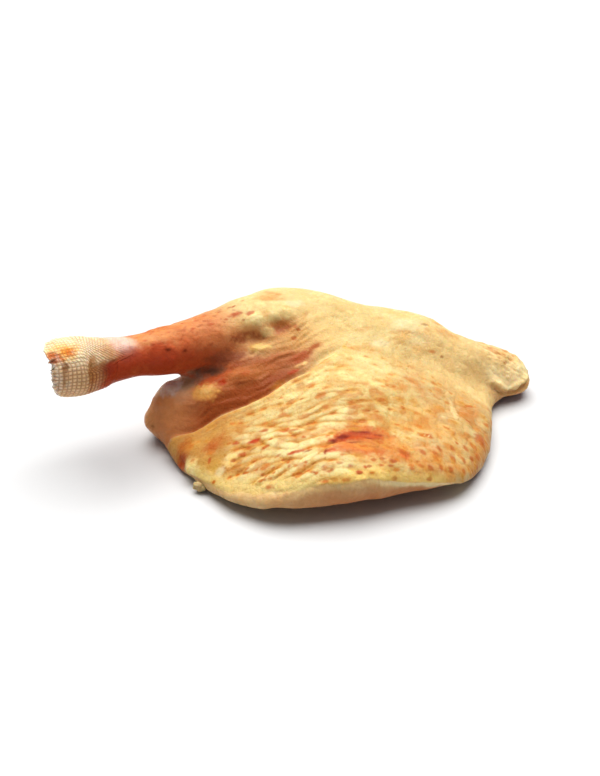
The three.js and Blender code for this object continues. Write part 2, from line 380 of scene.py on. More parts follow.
def sculpted(mesh):
    """Works the leg's own forms into its skin, the large ones first."""
    points, normals = apart(mesh)
    flat = laid_flat(points)
    x, y, z = flat.T
    side, along = beside(flat, FOLD)
    length, radius, angle = on_shank(points)
    upward = ease(-0.3, 0.2, normals[:, 2])
    ends = ease(0, 10, along) * ease(100, 80, along)

    swell = (0.55 * noise(flat, 17, 1) + 0.3 * noise(flat, 8, 2)) * ease(44, 60, length)
    crease = -1.5 * hump(side, 0.2, 1.5) * ends
    lip = (0.9 * hump(side, 3.4, 2.1) + 0.3 * hump(side, 6.3, 0.7)) * ends
    hollows = sum(depth * mound(points, at, reach) for depth, at, reach in HOLLOWS)
    lumps = sum(height * mound(points, at, reach) for height, at, reach in LUMPS)
    points, normals = raised(mesh, (swell + crease + lip + hollows + lumps) * upward)

    ridges = 1.1 * (folded(flat) - 0.45) * wrinkle_share(flat)
    strands = 0.3 * strand_lines(along, side, z)
    calf = ease(1, -3, side) * ease(-34, -8, side) * ease(17, 24, z + 0.2 * x + 14)
    thigh = (1 - wrinkle_share(flat)) * ease(-22, -12, x) * ease(-2, 6, side)
    soft = noise(flat, (5, 4, 4), 43) * 0.2 + noise(flat, 2.2, 44) * 0.08
    soft = soft + 0.25 * ease(0, 0.35, net(flat, 5.5, 91))
    creases = 0.3 * lobe_creases(flat) * ease(74, 88, x) * ease(24, 34, y)
    over = over_lip(points)
    roll = (1.3 * hump(over, 0.6, 1.6) - 1.6 * hump(over, -2.0, 1.2)) * ease(88, 92, points[:, 0])
    roll = roll * ease(0.3, -0.1, normals[:, 1]) * ease(46, 40, points[:, 1]) * ease(25, 28, points[:, 1])
    relief = (ridges + strands * calf + soft * thigh) * upward - creases + roll
    points, normals = raised(mesh, relief)

    face = rim_face_share(flat, normals)
    lobes = face * (0.7 * noise(flat, (9, 30, 30), 45) + 0.1 * noise(flat, 4, 46)) * ease(12, 3, z)
    small = 0.1 * noise(points, 2.4, 42)
    sleeve = ease(2.3, -1.5, length - scales_end(angle)) * ease(30, 24, radius) * (points[:, 0] < -60)
    return raised(mesh, lobes - 0.45 * face + small * upward * (1 - sleeve) - 1.4 * sleeve)


def surface_of(mesh):
    """A mesh's surface, in millimetres, for finding places on it."""
    corners = [tuple(polygon.vertices) for polygon in mesh.polygons]
    return BVHTree.FromPolygons([vert.co / MM for vert in mesh.vertices], corners)


leg_mesh = skin_blank()
leg_base = surface_of(leg_mesh)
leg_points, leg_normals = sculpted(leg_mesh)
leg_flat = laid_flat(leg_points)


def dropped(x, y):
    """The point of the leg's top over a place on the skin as it is laid flat."""
    out = y
    for _ in range(8):
        out = y - JUT_REACH * jut(np.array([[x, out, 0.0]]))[0]
    hit = leg_base.ray_cast(Vector((x, out, 200.0)), Vector((0, 0, -1)))[0]
    return np.array(hit if hit else (x, out, 0.0))


class Paint:
    """Colours for the points of one mesh, laid on in dabs like thin washes."""

    def __init__(self, points, tone):
        self.points = points
        self.tint = np.tile(linear(tone), (len(points), 1))
        self.ragged = 0.5 * noise(points, 2.6, 51) + 0.5 * noise(points, 1.1, 52)

    def wash(self, tone, share):
        """Tints by a share that may differ from point to point."""
        share = np.clip(share, 0, 1)
        self.tint = mix(self.tint, linear(tone), np.reshape(share, (-1, 1)))

    def dab(self, tone, at, long, wide, turn=0.0, share=1.0, soft=0.45):
        """An oval spot: its place seen from above or in space, its half sides, and its turn from +X."""
        place = np.array(at, float) if len(at) == 3 else dropped(*at)
        near = np.flatnonzero((np.abs(self.points - place) < 1.8 * max(long, wide)).all(axis=1))
        out = self.points[near] - place
        a, b = turned(out, turn)
        far = np.sqrt((a / long) ** 2 + (b ** 2 + out[:, 2] ** 2) / wide ** 2) + 0.45 * self.ragged[near]
        laid = share * ease(1 + soft, 1 - soft, far)
        self.tint[near] = mix(self.tint[near], linear(tone), laid[:, None])


# Tones that the skin's marks share; under a bright lamp each looks a little lighter.
CREAM = "D1B881"
PALE = "D8C78D"
WHITISH = "DACCA0"
STRAW = "CBAE70"
YELLOW = "D3A64A"
TAN = "BD7E3C"
ORANGE = "B56A28"
RUST = "A64B19"
RED = "A5330F"
BLOOD = "84240B"
BROWN = "7D4820"
OLIVE = "9C7B37"

# Bruises, blood, fat and stains: tone, place, half length, half width, turn, share.
FLAP_MARKS = [
    (RUST, (-37, -31), 6, 4, 20, 0.5), (RED, (-39, -38), 6.5, 0.9, 68, 0.75),
    (RUST, (-38, -34), 4, 2.2, 70, 0.6), ("AE4A1C", (-53, -31.5, 4.5), 3.5, 3.5, 0, 0.75),
    ("E6D8AE", (-47.6, -39, 5), 1, 3.4, 30, 0.6), ("B0561F", (-50.5, -27), 5.5, 4.5, 60, 0.6),
    ("A4441A", (-52, -31), 5, 3.4, 70, 0.85), ("E2CE8A", (-47, -37), 3, 4.5, 20, 0.7),
    ("E2CE8A", (-29.5, -41), 6.5, 3, 60, 0.65), (WHITISH, (-34, -45), 4, 2.2, 30, 0.5),
    (RED, (-20, -36.5), 2.7, 1.5, 12, 1), (RED, (-27.5, -35), 2, 1, 0, 0.8),
    (RUST, (-15.5, -33), 2.2, 1.2, 0, 0.85), (RED, (-6.5, -36), 2.4, 1.5, 0, 0.85),
    (RUST, (-2.5, -37), 3, 0.9, 0, 0.7), (RUST, (-14.8, -40.7), 3.2, 1, 22, 0.9),
    (RUST, (-24.7, -41), 2.2, 1.1, 0, 0.9), (BROWN, (-20, -39.8), 2.5, 0.7, 25, 0.7),
    (RED, (0, -46.5), 6.5, 1.2, 5, 0.8), (RUST, (9, -46), 2.4, 1.4, 0, 0.8),
    (ORANGE, (-19.5, -45), 3.6, 1.1, 10, 0.8), (ORANGE, (-15, -49), 3.4, 1.3, 22, 0.8),
    (RUST, (-9, -46), 4.5, 0.8, 15, 0.6), (ORANGE, (-8, -28), 3, 1.2, 10, 0.7),
    (ORANGE, (2, -31.5), 3.2, 1.5, 25, 0.7), (ORANGE, (9, -22), 3.5, 1.2, 28, 0.6),
    (ORANGE, (13, -30), 4, 1.2, 20, 0.5), (TAN, (-4, -22), 4, 1.4, 20, 0.6),
    (ORANGE, (4, -15), 5, 1, 30, 0.6), ("C9762E", (28, -43), 19, 9, -4, 0.6),
    ("AC5618", (26, -43.5), 14, 5.5, -4, 0.5), (ORANGE, (40, -45), 14, 4.5, -12, 0.5),
    ("B4521E", (27, -40), 11, 4.5, 12, 0.75), ("B4521E", (23, -47), 12, 3.2, 2, 0.7),
    ("A83C12", (20, -42.4), 7, 3, 15, 0.75), ("AE4218", (31, -40.2), 5.5, 1.8, 5, 0.6),
    ("C2532A", (13.4, -48.3), 2.8, 1.5, 10, 0.8), ("CF7A3A", (23, -46), 9, 2.6, -4, 0.6),
    ("98300E", (18.3, -42.6), 3.6, 1.8, 15, 0.95), ("98300E", (13.5, -44.4), 2.4, 1.3, 30, 0.85),
    ("9A3512", (26, -39.6), 7, 1.2, 8, 0.75), (BLOOD, (11, -47.6), 3, 0.7, 76, 0.9),
    ("701E08", (18.3, -42.4), 3.2, 1.2, 15, 0.95), ("701E08", (14, -44.3), 2.2, 0.8, 40, 0.9),
    ("7E260C", (12.2, -48.4), 2.4, 0.8, 10, 0.8), ("7A240C", (25, -39.4), 5.5, 0.6, 8, 0.85),
    ("7A240C", (30, -41.2), 3.6, 0.5, -4, 0.8), ("7A240C", (22, -44.4), 5, 0.5, 12, 0.7),
    ("6A1C08", (10.6, -50), 2.2, 0.5, 80, 0.9), ("84300F", (19.5, -47.5), 4.5, 0.45, 25, 0.7),
    ("84300F", (34, -38.6), 3.2, 0.6, 10, 0.7), ("A83A14", (-2, -46.8), 7, 0.8, 5, 0.8),
    ("8A3210", (3.5, -47.2), 2.4, 0.7, 8, 0.8), ("9A3512", (33, -41), 2.8, 1.5, 0, 0.7),
    ("9A3512", (22, -37.6), 3.4, 0.8, 10, 0.6), ("C8622E", (44, -44.5), 3.4, 1.5, -25, 0.7),
    (RUST, (44.5, -43), 3.6, 1.8, -20, 0.8), (RUST, (54.5, -31), 2.7, 1.8, 10, 0.85),
    (CREAM, (55.2, -31), 1.7, 0.35, 65, 0.9), (CREAM, (53.4, -31.4), 1.5, 0.3, 65, 0.8),
    (ORANGE, (24, -28), 3.4, 1.3, 15, 0.7), (ORANGE, (34, -30.5), 2.4, 1.6, 0, 0.6),
    (RUST, (20, -34), 3, 1.2, 0, 0.4), (ORANGE, (75, -6), 5.5, 6.5, 0, 0.6),
    ("E0C890", (68, -9), 10, 1.6, 102, 0.6), (RUST, (76, 0.5), 7.5, 0.9, 14, 0.8),
    (RUST, (74, -12), 5, 0.8, 5, 0.55), (RUST, (79.4, -20), 2.8, 4.2, 0, 0.75),
    (ORANGE, (62, 3), 3, 1.8, 0, 0.5), (RED, (20.5, -53.7), 1.2, 1, 0, 0.85),
    (RED, (24.3, -55.5), 1.5, 0.9, 0, 0.85), (RED, (27, -53.3), 1, 0.8, 0, 0.8),
    (RUST, (54.3, -47.5), 2.2, 0.9, -10, 0.7), (RUST, (16, -53), 2, 1, 0, 0.6),
    (OLIVE, (-17.5, -55), 2, 1.6, 0, 0.6), (RUST, (-13, -57.5), 1.9, 1.4, 0, 0.75)]
# Feather pits seen singly, at the flap's right end and on its front.
RIM_FOLLICLES = [
    (65.7, -37), (70.6, -35.7), (74.4, -33), (76.6, -34), (69.8, -40.5), (60, -43), (55, -45),
    (64, -42), (57.7, -38.6), (59.6, -35), (72, -29), (75, -26), (66, -32), (77, -30), (52, -40)]
FLAP_FOLLICLES = [
    (-12.7, -38.2), (1.5, -41.2), (-10.8, -52.5), (-2.3, -55.3), (2.3, -51.6), (6.6, -56), (-5, -50),
    (37.7, -11.3), (41, -9.6), (68, -28), (13, -49), (17, -50), (12, -42)]
# Marks on the knee: tone, place, half length, half width, turn, share. The lighter dabs on the fat lumps'
# tops are painted highlights on the fat's own pale tone, and the dark browns in the hollows are painted
# shade over the skin's own darker brown.
KNEE_MARKS = [
    ("E2C888", (-20, 14, 55), 6, 3.2, 10, 0.7), ("E2C888", (-12, 16.5, 55.5), 6, 3.2, 10, 0.7),
    ("E2C888", (-6, 18.5, 56), 4, 3, 10, 0.5), ("EAD8A2", (-20, 14, 54.8), 3, 1.8, 15, 0.6),
    ("EAD8A2", (-12, 17, 55.5), 3, 2, 10, 0.6), ("C08A4A", (-16, 16.2, 55.6), 1.8, 2.6, 60, 0.6),
    ("C08A4A", (-24, 14.5, 54), 2.5, 1.6, 20, 0.5), ("C58F4C", (-5, 21, 57.6), 3, 1.2, 20, 0.5),
    (OLIVE, (-11, 19.5, 57), 1.7, 1.2, 0, 0.4), (OLIVE, (-11, 15, 53.8), 1.6, 0.9, 0, 0.3),
    ("8E4726", (-23, 7.5, 48.3), 7.5, 2.6, 12, 0.85), ("6A4420", (-18.5, 8.3, 47.8), 3.2, 1.5, 12, 0.7),
    ("A5593A", (-9, 12.3, 50.8), 4.4, 2.2, 12, 0.8), ("8A4A2B", (-10, 12.6, 51), 2.6, 1.2, 12, 0.5),
    ("E0C888", (-14.5, 10.8, 50.2), 3.2, 2.2, 20, 0.5), ("C89E50", (-19, 5.3, 44.8), 4.8, 2, 5, 0.7),
    ("E6C880", (-17, 5.5, 45), 4, 1.6, 5, 0.5), ("A2572E", (-29, 3.5, 43.5), 7, 3.2, 12, 0.6),
    ("A0501A", (-1, 12.5, 50.2), 1.1, 0.8, 0, 0.8), (RUST, (-2.5, 13.5, 51.5), 1.3, 0.9, 0, 0.6),
    (RUST, (-3, 9, 47.4), 1.5, 1.1, 0, 0.7), (RED, (-29.3, 14.6, 56.7), 3.6, 1.3, 30, 0.75),
    (RED, (-22.6, 15.4, 56.8), 2.2, 1.3, 30, 0.75), (TAN, (-14, 27, 59), 6, 2.5, 10, 0.5)]
# Marks on the calf and shank: tone, place, half length, half width, turn, share. The dark browns and
# grey-browns along the crease under the shank are painted shadow; the pale lilac dab on the calf's tip and
# the small yellow dab between its rust strips are painted highlights.
CALF_MARKS = [
    ("8A3A18", (-24, -1, 39.5), 11, 3, 12, 0.6), (RED, (-34.8, -6.8, 33.4), 2.6, 1.4, 25, 0.9),
    (RED, (-24.6, -5.2, 37.1), 2.6, 1.3, 25, 0.9), ("AC6430", (-22, -3.5, 37.5), 13, 3.5, 12, 0.7),
    ("DCA050", (-42, -8.5, 29.5), 7, 3.6, 5, 0.75), ("EBBB70", (-41, -8, 30), 4.2, 2.2, 0, 0.65),
    ("7B3E26", (-33, 1.8, 41), 9, 3, 10, 0.75), ("6E4834", (-41, -0.4, 35.5), 9, 2.6, 5, 0.75),
    ("4A3026", (-42.5, -0.3, 35.2), 6, 1.6, 5, 0.6), ("7C6250", (-47, -1.6, 33), 4.5, 3, 0, 0.6),
    ("8E7460", (-51, -1.5, 30), 3.6, 4, 0, 0.6), ("DCC8BC", (-57, 1, 27.5), 6.5, 4.2, 50, 0.75),
    (RUST, (6.5, 6, 45), 4, 1.4, 38, 0.85), ("A0441C", (-1, 1, 41.5), 12, 2.4, 36, 0.85),
    (RED, (-4, -4.5, 37.5), 5, 1.1, 32, 0.7), ("CFA468", (-2, -2.5, 39), 7, 1, 32, 0.6),
    ("A65A34", (-8, 1, 41), 10, 3.5, 25, 0.5), ("E0C27A", (2, -1, 40), 1.2, 0.9, 30, 0.7),
    ("8A2E1C", (-80.5, -24.2, 50), 5.5, 3.2, 20, 0.6), (BROWN, (-66, -3.5, 16), 1, 0.7, 0, 0.7),
    (BROWN, (-66.5, -7, 11), 1, 0.7, 0, 0.7)]
HIP_MARKS = [
    (ORANGE, (-12.5, 30.5), 7, 1.2, -18, 0.4), (TAN, (-12.5, 25), 6.5, 1.2, 5, 0.45),
    (WHITISH, (-3, 23.5), 5, 2.2, 10, 0.5), (TAN, (2, 19), 3.5, 1, 60, 0.4),
    (PALE, (24, 15), 8, 2.4, 25, 0.5), (WHITISH, (36, 17), 7, 2, 20, 0.45),
    (TAN, (29, 22), 7, 1.1, 28, 0.35), (TAN, (45, 27), 8, 1, 20, 0.35),
    (WHITISH, (50, 33), 9, 4, 12, 0.45), (ORANGE, (64, 43.5), 9, 1.2, 18, 0.4),
    (TAN, (18, 27), 6, 1, -12, 0.3), (TAN, (36, 32), 7, 1, 25, 0.3),
    (PALE, (31, 1), 13, 8, 10, 0.5), (ORANGE, (66, 38), 11, 3, 10, 0.35),
    (BROWN, (56, 35), 6.5, 0.8, 20, 0.6), (WHITISH, (54, 27), 6, 3.5, 10, 0.25),
    ("C2A86C", (66, 29), 8, 6, 10, 0.15), (BROWN, (65, 25), 1.2, 0.8, 0, 0.8),
    (ORANGE, (60.5, 24.5), 3, 0.8, 10, 0.7), (YELLOW, (20, 8.5), 1.4, 1.1, 0, 0.8),
    (ORANGE, (49.5, 0), 4, 3, 0, 0.45), (ORANGE, (40, -10.5), 2.4, 2.2, 0, 0.4),
    (ORANGE, (34, -18), 2.4, 1.4, 0, 0.5), (ORANGE, (92, 44), 7, 0.8, -8, 0.6),
    (ORANGE, (98, 42), 6, 0.7, -10, 0.6), (ORANGE, (88, 47), 6, 0.7, -5, 0.5),
    (TAN, (96, 38), 5, 0.8, 0, 0.5), (PALE, (106, 43), 4, 5, 0, 0.6)]
# Red dots on top of the knee and shank, and two dark scabs.
SHANK_DOTS = [
    (-63.4, 2.9), (-58, 0.2), (-47.6, 4.1), (-46.5, 10.2), (-39.8, 8), (-33.2, 11.5), (-68, -6.9),
    (-61, 5), (-53, 8), (-43, 14), (-37, 16), (-56, 11), (-30, 20), (-50, 15), (-64, 9), (-26, 24)]
SHANK_SCABS = [(-58, -7.6, 50), (-50.8, -4.6, 48)]


def base_paint(points, normals):
    """The skin's broad colours before its spots, with painted light and shade on the flap's folds and front
    edge, the hip's lip and slopes, and the knee's hollows.
    """
    flat = laid_flat(points)
    paint = Paint(points, CREAM)
    wash = paint.wash
    side, along = beside(flat, FOLD)
    length, radius, angle = on_shank(points)
    x, y, z = flat.T
    cloud, patch = noise(flat, 9, 61), noise(flat, 4.5, 65)
    fine, grit = noise(flat, 2.6, 62), noise(flat, 1.2, 66)

    # the thigh and the hip
    wash(STRAW, 0.5 + 0.5 * cloud)
    blotchy = ease(0, 0.9, fine + 0.5 * cloud + 0.4 * patch)
    wash(TAN, 0.45 * blotchy * ease(75, 45, x) * ease(22, -12, y))
    wash(PALE, 0.55 * ease(0.1, 0.8, grit - patch))
    flap = flap_share(flat)
    lines = ease(0.22, 0.02, net(flat, 5.5, 91) + 0.1 * grit)
    wash(TAN, 0.24 * lines * ease(0.2, 0.6, flap + ease(-5, 15, x) * ease(2, 14, side)))
    behind = ease(18, 40, y) * ease(-70, -40, x) * ease(40, 30, z)
    wash("C98F50", 0.4 * behind * ease(0, 0.8, cloud + 0.5 * patch + 0.3 * fine))
    wash(PALE, 0.4 * behind * ease(0.1, 0.8, 0.3 * fine - patch))
    wash("BC8244", 0.45 * behind * ease(0.5, 0.75, noise(flat, 3.2, 95)))
    front = ease(2, -18, y - 0.15 * x)
    right = ease(28, 62, x) * ease(20, -4, y)
    streak = noise(np.c_[x * 0.77 - y * 0.64, (x * 0.64 + y * 0.77) * 4, z * 0], 6, 67)
    wash("AE8450", 0.76 * right)
    wash(ORANGE, 0.3 * right * ease(0.1, 0.8, patch + 0.4 * streak + 0.5 * fine))
    wash(PALE, 0.35 * right * ease(0.1, 0.8, 0.4 * cloud - patch - 0.3 * streak))
    wash(TAN, 0.8 * ease(-22, -40, x + 0.2 * y) * flap)
    wash(YELLOW, 0.5 * ease(-22, -38, x) * ease(-34, -42, y) * flap)
    lobe = ease(76, 90, x) * ease(26, 34, y)
    wash("E2CA92", 0.8 * lobe)
    wash("D8A860", 0.45 * ease(35, 50, x) * ease(12, 20, y) * ease(0, 0.7, patch - 0.4 * fine))
    # Painted light: behind the hip, faces that tilt away from straight up are painted a lighter, warmer
    # cream.
    wash("DCBA7C", 0.7 * ease(48, 62, x) * ease(8, 16, y) * ease(0.95, 0.75, normals[:, 2]))
    creased = ease(0.05, 0.5, lobe_creases(flat)) * ease(36, 42, y + 0.1 * x - 8)
    wash("BC7C44", 0.8 * lobe * creased)
    # Painted light and shade at the hip's wavy lip: paler cream painted on the skin above it, where it
    # faces up, and darker tan painted on the roll below it.
    over = over_lip(flat)
    end = ease(84, 92, x) * ease(24, 28, y) * ease(50, 42, y)
    wash("F4DCA4", 0.9 * end * ease(0, 1.2, over) * ease(13, 5, over + 3 * patch))
    wash("CE9C68", 0.8 * end * ease(0, -1.2, over))

    # the flap: painted highlights on its folds' tops, painted shade over its own warmer tones in the gaps
    # between them, and a painted glow along its front edge
    share = wrinkle_share(flat)
    folds = folded(flat)
    wash("C6934C", 0.6 * flap * ease(-6, -26, y - 0.1 * x) * ease(-0.8, 0.6, cloud + patch))
    # Painted highlight: the folds' tops are painted paler. Painted shade: the gaps between them are painted
    # darker tan, orange and rust over the skin's own warmer tone.
    wash("E9DCAA", 0.7 * share * ease(0.5, 0.95, folds) * (1 - 0.5 * right))
    wash("C98F48", 0.75 * share ** 0.5 * ease(0.8, 0.4, folds))
    wash("BC6E2A", 0.85 * share ** 0.5 * ease(0.6, 0.2, folds) * ease(-0.5, 0.5, cloud + patch))
    wash(RUST, 0.85 * share * ease(0.45, 0.05, folds) * ease(-0.2, 0.35, patch + 0.6 * fine))
    wash(ORANGE, 0.45 * flap * front * ease(0.1, 0.7, patch + 0.5 * fine))
    mid = flap * (1 - share) * (1 - 0.65 * ease(30, 50, x))
    mid = mid * ease(-24, -16, x) * ease(-30, -22, x + 0.4 * y)
    blotch = noise(flat, (7, 3.2, 5), 93)
    wash("E6D49C", 0.6 * mid * ease(0.05, 0.5, blotch))
    wash("CB8D4C", 0.55 * mid * ease(0.1, 0.6, 0.4 * fine - blotch))
    dim = 0.13 * flap * ease(-8, -26, y - 0.15 * x) * ease(60, 30, x)
    paint.tint *= (1 - dim - 0.06 * flap * ease(-15, -35, x))[:, None]
    paint.tint[:, 2] *= 1 - 0.13 * flap * ease(60, 30, x)
    paint.tint *= (1 - 0.13 * flap * ease(62, 74, x))[:, None]
    # Painted glow: a bright yellow band painted on the skin just above its cut front edge.
    painted_glow = 1 - np.abs(z - rim_height(flat) - 1) / 3.0
    wash("E2CC84", 0.6 * flap * ease(-0.3, 0.7, painted_glow + 0.3 * fine) * ease(24, 10, x) * ease(-54, -50, x))
    wash("EFCB74", 0.75 * flap * ease(-0.5, 0.6, painted_glow) * ease(10, 22, x) * ease(70, 55, x))

    # the calf under the fold, and the knee
    soft = mix(1.2, 3.5, ease(-18, 4, x))
    calf = ease(soft, -soft, side) * ease(16, -12, x + 3 * patch) * ease(-70, -62, x)
    calf = calf * ease(-19, -9, side) * ease(50, 42, z)
    strands = strand_lines(along, side, z)
    wash("AE5E30", 0.9 * calf)
    wash("9E4F27", 0.6 * calf * ease(-1.0, 0.6, strands))
    wash("8A3D17", 0.8 * calf * ease(-10, -4, side + 1.5 * patch) * ease(8, -16, x))
    wash("BA7C4C", 0.45 * calf * ease(0.1, 0.9, strands) * ease(-3, -7, side))
    wash("8A4220", 0.5 * calf * ease(-24, -6, x))
    tip = ease(-40, -58, x) * ease(32, 26, z) * (side < 1)
    wash("C68250", 0.85 * tip)
    wash("D6B493", 0.8 * tip * ease(-8, 0, y + 0.3 * (x + 60)) * ease(-0.6, 0.4, patch))
    wash("E2BC78", 0.65 * mound(points, (12, 13, 48), (20, 12, 10)))
    wash("CC8E4E", 0.6 * mound(points, (-4, 9, 47), (14, 9, 8)))
    # Painted shade in the knee's two hollows: darker orange-brown over the skin's own warm tone there.
    hollows = mound(points, (-20, 8.5, 49), (10, 5, 5)) + mound(points, (-8, 13.5, 52), (7, 5, 4))
    wash("B0662F", 0.95 * hollows)

    # the shank, from the knee to the hock's scales
    shank = (1 - ease(34, 17, length) ** 2) * ease(108, 84, length) * ease(26, 20, radius) * ease(28, 33, z)
    around = np.abs(angle)
    brown = ease(62, 84, length)
    wash("C9804A", shank)
    wash("C06036", shank * ease(0.4, 1.25, around + 0.25 * patch) * (1 - 0.45 * brown))
    wash("98391B", shank * ease(0.9, 1.7, around + 0.15 * patch) * (0.95 - 0.2 * brown))
    wash("AE562C", 0.45 * shank * ease(0, 0.9, patch + 0.5 * fine))
    wash("B04024", 0.6 * shank * ease(84, 60, length) * ease(0.45, 0.9, around) * ease(2.2, 1.6, around))
    wash("BC7548", 0.5 * shank * ease(72, 88, length) * ease(1.6, 1.2, around + 0.2 * fine))
    wash("CF9463", 0.35 * shank * ease(0.2, 1.0, fine - patch) * ease(1.3, 0.7, around))
    scaly = ease(4, -1, length - scales_end(angle)) * ease(1.2, 0.6, np.abs(angle - 0.2))
    wash("C2946A", 0.6 * scaly * (radius < 20) * (z > 28))
    lilac = ease(54, 46, length + 2 * patch) * ease(37, 42, length) * ease(0.95, 0.4, np.abs(angle - 0.25))
    wash("DFBBAB", 0.9 * lilac * (radius < 20))
    stain = ease(54, 47, length + 2 * fine) * ease(39, 45, length)
    stain = stain * ease(0.55, 0.1, np.abs(angle - 1.0 + 0.2 * patch))
    wash("96433A", 0.55 * stain * (radius < 20))

    underside = ease(-0.55, -0.8, normals[:, 2]) * ease(7, 3, z)
    wash("93422D", underside)
    return paint


FOLLICLES = 210    # feather pits laid out over the flap
EDGE_DOTS = 34    # and small ones in a band above its front edge


def follicles(paint):
    """Feather pits in the gaps between folds, no two closer than a few millimetres."""
    draw = np.random.default_rng(5)
    flat = laid_flat(paint.points)
    open_gap = ease(0.6, 0.2, folded(flat)) * flap_share(flat) * ease(0.2, 0.5, leg_normals[:, 2])
    candidates = np.flatnonzero(draw.random(len(flat)) < open_gap * 0.2)
    taken = np.zeros((0, 2))
    for index in draw.permutation(candidates):
        x, y, z = flat[index]
        if len(taken) == FOLLICLES:
            break
        if y > 12 or x < -50 or z < rim_height(flat[index:index + 1])[0] + 1:
            continue
        if len(taken) and np.hypot(*(taken - (x, y)).T).min() < draw.uniform(3.0, 6.5):
            continue
        taken = np.vstack([taken, (x, y)])
        long = draw.uniform(1.1, 2.2)
        lower = y < -36 + 0.1 * x and x < 34
        tone = ("AE5216", RUST, "B8601C", "AE7426")[draw.integers(4)]
        share = draw.uniform(0.6, 0.95) if lower else draw.uniform(0.3, 0.65)
        at = tuple(paint.points[index])
        paint.dab("CF9A42", at, long * 1.7, long, flow(x, y), share * 0.6, 0.8)
        paint.dab(tone, at, long, long * draw.uniform(0.4, 0.6), flow(x, y), share, 0.5)


def spotted(paint):
    """Adds the marks: bruises, blood, fat and follicles, and painted shadow, shade and highlights, each
    where it lies on the leg.
    """
    for mark in FLAP_MARKS + KNEE_MARKS + CALF_MARKS + HIP_MARKS:
        paint.dab(*mark)
    for place in RIM_FOLLICLES:
        paint.dab("A5501F", place, 2.2, 1.2, -50, 0.8, 0.5)
    for place in FLAP_FOLLICLES:
        paint.dab("B05812", place, 1.1, 0.8, 0, 0.85)
    for place in SHANK_DOTS:
        paint.dab(RED, place, 1.0, 0.6, 20, 0.65)
    draw = np.random.default_rng(9)
    for length in np.arange(58, 104, 0.7):
        angle, size = draw.uniform(-0.9, 1.3), draw.uniform(0.4, 0.85)
        out = SHANK_TOP * math.cos(angle) + SHANK_FRONT * math.sin(angle)
        place = SHANK_FROM + SHANK_WAY * length + out * skin_radius(leg_base, length, angle, 40)
        paint.dab("8E3618", tuple(place), size * 1.3, size, 20, draw.uniform(0.3, 0.6))
    for place in SHANK_SCABS:
        paint.dab("561607", place, 1.8, 0.9, 0, 0.8)
    for _ in range(EDGE_DOTS):
        x, y = draw.uniform(-24, 50), draw.uniform(-2.6, 3.0)
        tone = ("A8521A", "B8661E", "96400F")[draw.integers(3)]
        place = (x, y - 54 + 0.004 * (x - 8) ** 2)
        paint.dab(tone, place, draw.uniform(0.9, 1.7), 0.8, draw.uniform(-20, 40), 0.75)
    follicles(paint)


leg_paint = base_paint(leg_points, leg_normals)
spotted(leg_paint)

# The cut fat face along the flap's front: pale at its skin's edge, pinkish tan below.
rim_face = rim_face_share(laid_flat(leg_points + leg_normals), leg_normals)
rim_patch = noise(leg_flat, (5, 4, 4), 68) + 0.5 * noise(leg_flat, 2, 69)
leg_paint.wash("C8A26E", 0.95 * rim_face)
leg_paint.wash("B4774C", 0.25 * rim_face * ease(0, 0.9, rim_patch))
leg_paint.wash("D6BC8C", 0.3 * rim_face * ease(0.1, 0.9, -rim_patch))
# Darker brown towards the bottom of the cut face and to its right: painted shade near the table over the
# fat's own pinkish tan.
leg_paint.wash("B06C40", 0.65 * rim_face * ease(9, 3, leg_flat[:, 2]) * ease(-25, 30, leg_flat[:, 0]))
below_edge = rim_height(leg_flat) - leg_flat[:, 2] + 0.5 * rim_patch
leg_paint.wash("F0DCA6", 0.7 * rim_face * ease(2.8, 1.0, below_edge) * ease(22, 44, leg_flat[:, 0]))
leg_paint.wash("B46E48", 0.4 * rim_face * ease(1.5, 4.5, below_edge) * ease(-20, 12, leg_flat[:, 0]))
tint = leg_mesh.color_attributes.new("tint", "FLOAT_COLOR", "POINT")
specks = mix(0.2, 0.5, flap_share(leg_flat)) * (1 - 0.7 * rim_face)
tint.data.foreach_set("color", np.c_[leg_paint.tint, specks].ravel().astype(np.float32))


def add(tree, kind, output, inputs, **settings):
    """One output of a new node, whose inputs are values or other nodes' outputs."""
    node = tree.nodes.new("ShaderNode" + kind)
    for name, value in settings.items():
        setattr(node, name, value)
    for name, value in inputs.items():
        if isinstance(value, bpy.types.NodeSocket):
            tree.links.new(value, node.inputs[name])
        else:
            node.inputs[name].default_value = value
    return node.outputs[output]


SKIN_FINISH = {
    "Roughness": 0.38, "Specular IOR Level": 0.05, "Coat Weight": 0.02, "Coat Roughness": 0.12,
    "Subsurface Weight": 0.35, "Subsurface Scale": 3.0 * MM, "Subsurface Radius": (1.0, 0.4, 0.15)}
MOTTLE, SPECKLE, NET, GRAIN = 420.0, 700.0, 480.0, 1500.0    # cells of each pattern in a metre
SPECK_TONE = (-0.14, -0.32, -0.5)    # what a speck takes from red, green and blue
NET_DEPTH = 0.25 * MM


